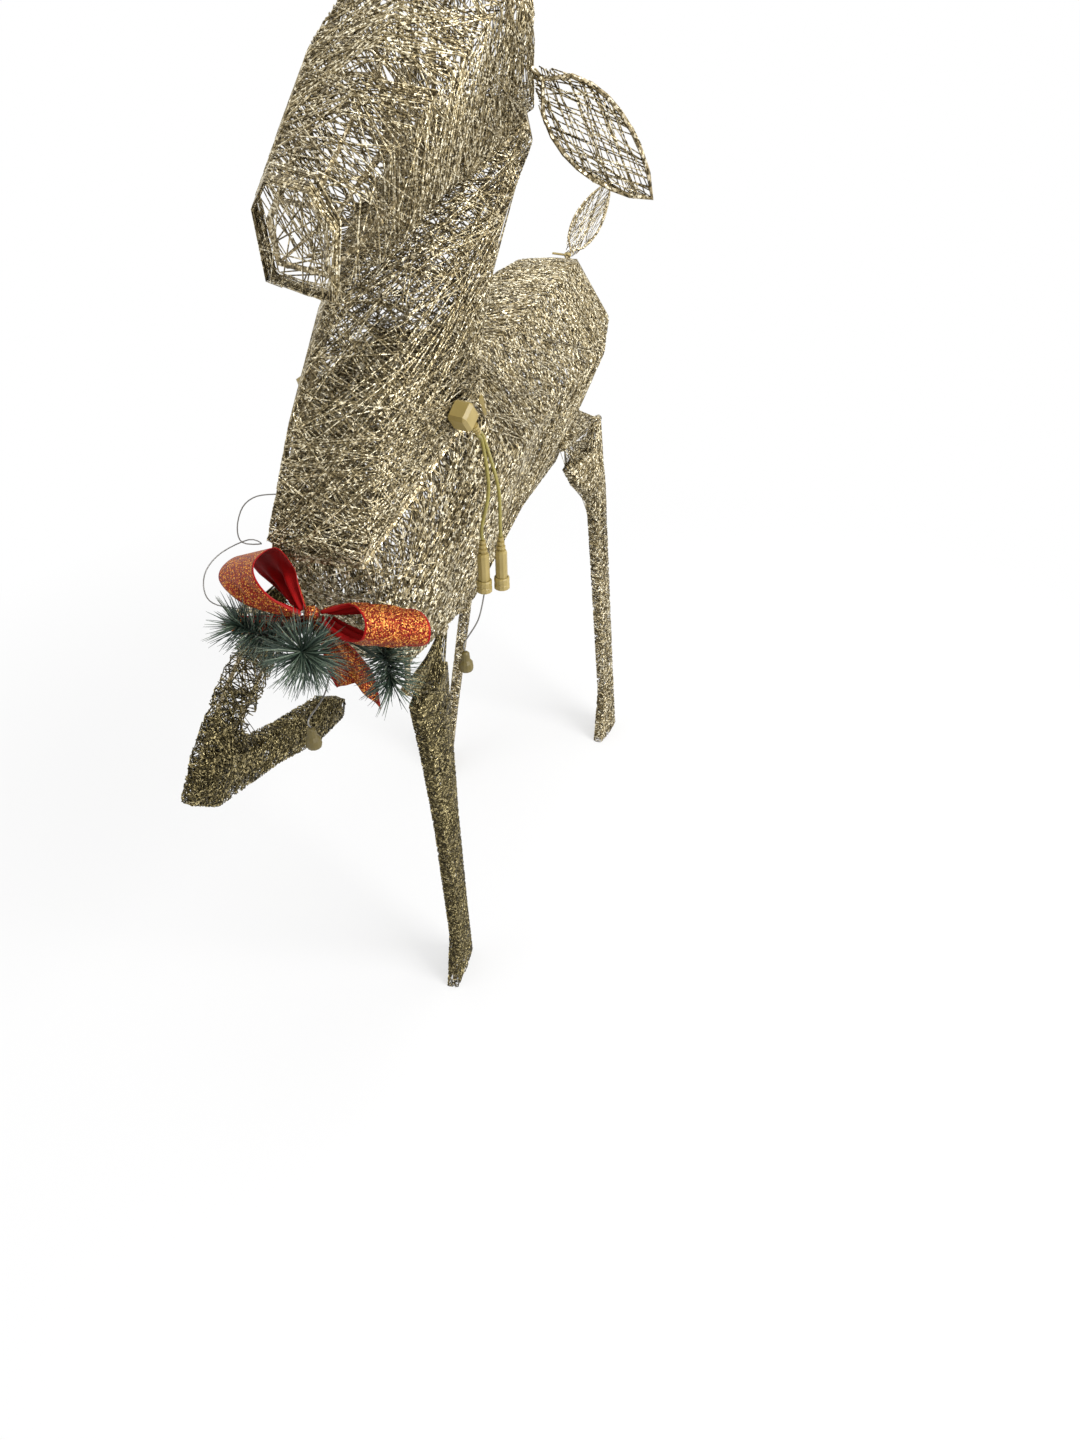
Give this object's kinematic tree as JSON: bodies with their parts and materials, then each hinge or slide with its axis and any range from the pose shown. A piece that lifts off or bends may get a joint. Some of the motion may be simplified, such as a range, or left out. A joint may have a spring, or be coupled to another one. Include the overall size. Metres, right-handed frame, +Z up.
{
  "type": "light-up yard reindeer",
  "caption": "Standing light-up yard reindeer of glitter thread wound over wire frames, with lift-off neck, fold-out legs, a raised foreleg, antlers, ribbon bow and hanging light leads.",
  "frame": {"origin": "on the floor, under the middle of the bounding box", "axes": "+Z up, -Y the way the reindeer faces, +X its own left"},
  "size_m": [0.3956, 1.16, 1.475],
  "materials": {
    "frame_wire": "champagne gold paint over welded steel wire",
    "glitter_thread": "champagne gold glitter thread, sparkling",
    "tan_plastic": "moulded tan, satin",
    "light_string": "clear warm lamps on pale wire",
    "gold_cord": "olive gold, satin",
    "grey_wire": "thin grey wire, satin",
    "ribbon": "orange and red glitter outside, dark red satin inside",
    "needles": "dark blue-green, matt"
  },
  "bodies": {
    "torso": {"body_frame": "frame_wire", "body_lights": "light_string", "body_thread": "glitter_thread", "bow_knot": "ribbon", "bow_loop_left": "ribbon", "bow_loop_right": "ribbon", "bow_tail_left": "ribbon", "bow_tail_right": "ribbon", "bow_tie_wire": "grey_wire", "cap_2": "tan_plastic", "cap_2_tether": "grey_wire", "hip_sleeve_fore_left_front": "tan_plastic", "hip_sleeve_fore_left_rear": "tan_plastic", "hip_sleeve_fore_right_front": "tan_plastic", "hip_sleeve_fore_right_rear": "tan_plastic", "hip_sleeve_hind_left_front": "tan_plastic", "hip_sleeve_hind_left_rear": "tan_plastic", "hip_sleeve_hind_right_front": "tan_plastic", "hip_sleeve_hind_right_rear": "tan_plastic", "pine_sprig_1": "needles", "pine_sprig_2": "needles", "pine_sprig_3": "needles", "tail_cable_tie": "tan_plastic", "tail_frame": "frame_wire", "tail_net": "glitter_thread"},
    "neck_and_head": {"antler_left": "glitter_thread", "antler_right": "glitter_thread", "cap_1": "tan_plastic", "cap_1_tether": "grey_wire", "ear_left_frame": "frame_wire", "ear_left_net": "glitter_thread", "ear_right_frame": "frame_wire", "ear_right_net": "glitter_thread", "head_frame": "frame_wire", "head_thread": "glitter_thread", "junction_box": "tan_plastic", "junction_box_relief": "tan_plastic", "lead_1_body": "tan_plastic", "lead_1_cord": "gold_cord", "lead_2_body": "tan_plastic", "lead_2_cord": "gold_cord", "neck_frame": "frame_wire", "neck_lights": "light_string", "neck_thread": "glitter_thread", "seam_clip_left": "tan_plastic", "seam_clip_right": "tan_plastic"},
    "leg_fore_left": {"leg_fore_left_frame": "frame_wire", "leg_fore_left_thread": "glitter_thread", "leg_fore_left_lights": "light_string"},
    "leg_fore_right": {"leg_fore_right_frame": "frame_wire", "leg_fore_right_thread": "glitter_thread", "leg_fore_right_lights": "light_string"},
    "leg_hind_left": {"leg_hind_left_frame": "frame_wire", "leg_hind_left_thread": "glitter_thread", "leg_hind_left_lights": "light_string"},
    "leg_hind_right": {"leg_hind_right_frame": "frame_wire", "leg_hind_right_thread": "glitter_thread", "leg_hind_right_lights": "light_string"},
    "collar_1": {"lead_1_collar": "tan_plastic"},
    "collar_2": {"lead_2_collar": "tan_plastic"}
  },
  "joints": [
    {"name": "neck_lift", "type": "slide", "parent": "torso", "child": "neck_and_head", "axis": [0, 0, 1], "range_m": [0, 0.08]},
    {"name": "fore_left_hip", "type": "hinge", "parent": "torso", "child": "leg_fore_left", "pos_m": [-0.01281, -0.35405, 0.5594], "axis": [0, -1, 0], "range_deg": [0, 55]},
    {"name": "fore_right_hip", "type": "hinge", "parent": "torso", "child": "leg_fore_right", "pos_m": [-0.151, -0.41405, 0.66033], "axis": [0.1392, 0.9903, 0], "range_deg": [0, 60]},
    {"name": "hind_left_hip", "type": "hinge", "parent": "torso", "child": "leg_hind_left", "pos_m": [0.03555, 0.23595, 0.59985], "axis": [-0.2079, -0.9781, 0], "range_deg": [0, 60]},
    {"name": "hind_right_hip", "type": "hinge", "parent": "torso", "child": "leg_hind_right", "pos_m": [-0.12096, 0.23595, 0.59985], "axis": [-0.2079, 0.9781, 0], "range_deg": [0, 60]},
    {"name": "collar_1_turn", "type": "hinge", "parent": "neck_and_head", "child": "collar_1", "pos_m": [0.05767, -0.34818, 0.66478], "axis": [0, 0, 1], "continuous": true},
    {"name": "collar_2_turn", "type": "hinge", "parent": "neck_and_head", "child": "collar_2", "pos_m": [0.07367, -0.33818, 0.66528], "axis": [0, 0, 1], "continuous": true}
  ]
}
